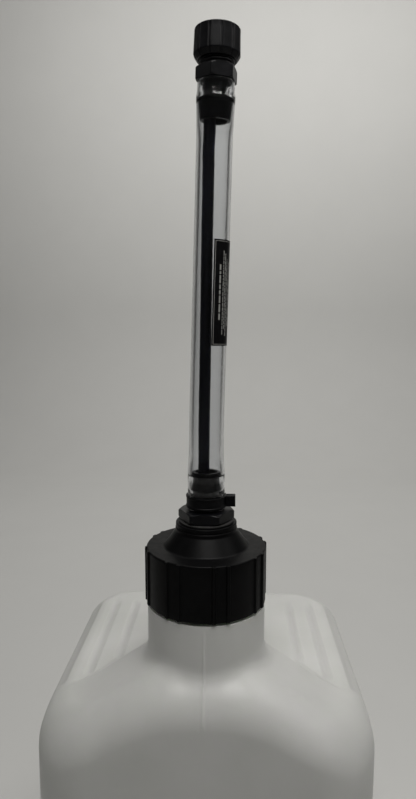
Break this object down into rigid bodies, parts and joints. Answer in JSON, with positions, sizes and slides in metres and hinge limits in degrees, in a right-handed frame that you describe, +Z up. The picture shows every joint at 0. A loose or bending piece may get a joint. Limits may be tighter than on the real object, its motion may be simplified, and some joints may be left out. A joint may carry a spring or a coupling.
{
  "type": "utility jug with pour hose",
  "caption": "Square translucent utility jug with a bridge handle and a black screw cap that carries a clear pour hose with an inner vent tube and a screw-on end knob.",
  "frame": {"origin": "centre of the jug's footprint, on the surface it stands on", "axes": "+Z up along the jug and its hose, -Y towards the front face that the neck is near, +X to the viewer's right"},
  "size_m": [0.25, 0.25, 0.8247],
  "materials": {
    "jug_plastic": "satin translucent",
    "cap_plastic": "satin",
    "fitting_plastic": "gloss",
    "seal_rubber": "matte",
    "clear_vinyl": "clear flexible vinyl",
    "vent_tube": "satin",
    "clamp_nylon": "satin",
    "label_film": "semi-gloss"
  },
  "bodies": {
    "jug": {"jug_body": "jug_plastic"},
    "cap_lift": {"cap_gasket": "seal_rubber"},
    "pour_cap": {"screw_cap": "cap_plastic", "adapter_washer": "seal_rubber", "hose_adapter": "fitting_plastic", "adapter_locknut": "fitting_plastic", "clear_hose": "clear_vinyl", "vent_tube": "vent_tube", "hose_clamp": "clamp_nylon", "hose_label": "label_film", "nozzle_fitting": "fitting_plastic"},
    "knob_lift": {"knob_seal": "seal_rubber"},
    "knob": {"nozzle_knob": "fitting_plastic"}
  },
  "joints": [
    {"name": "cap_rise", "type": "slide", "parent": "jug", "child": "cap_lift", "axis": [0, 0, 1], "range_m": [0, 0.0098]},
    {"name": "cap_unscrew", "type": "hinge", "parent": "cap_lift", "child": "pour_cap", "pos_m": [0, -0.065, 0.44], "axis": [0, 0, 1], "range_deg": [0, 540]},
    {"name": "knob_rise", "type": "slide", "parent": "pour_cap", "child": "knob_lift", "axis": [0.0284, 0, 0.9996], "range_m": [0, 0.00665]},
    {"name": "knob_unscrew", "type": "hinge", "parent": "knob_lift", "child": "knob", "pos_m": [0.0074, -0.065, 0.8085], "axis": [0.0284, 0, 0.9996], "range_deg": [0, 1080]}
  ],
  "couplings": [
    {"joint": "cap_rise", "follows": "cap_unscrew", "m_per_rad": 0.0010345},
    {"joint": "knob_rise", "follows": "knob_unscrew", "m_per_rad": 0.00035014}
  ]
}
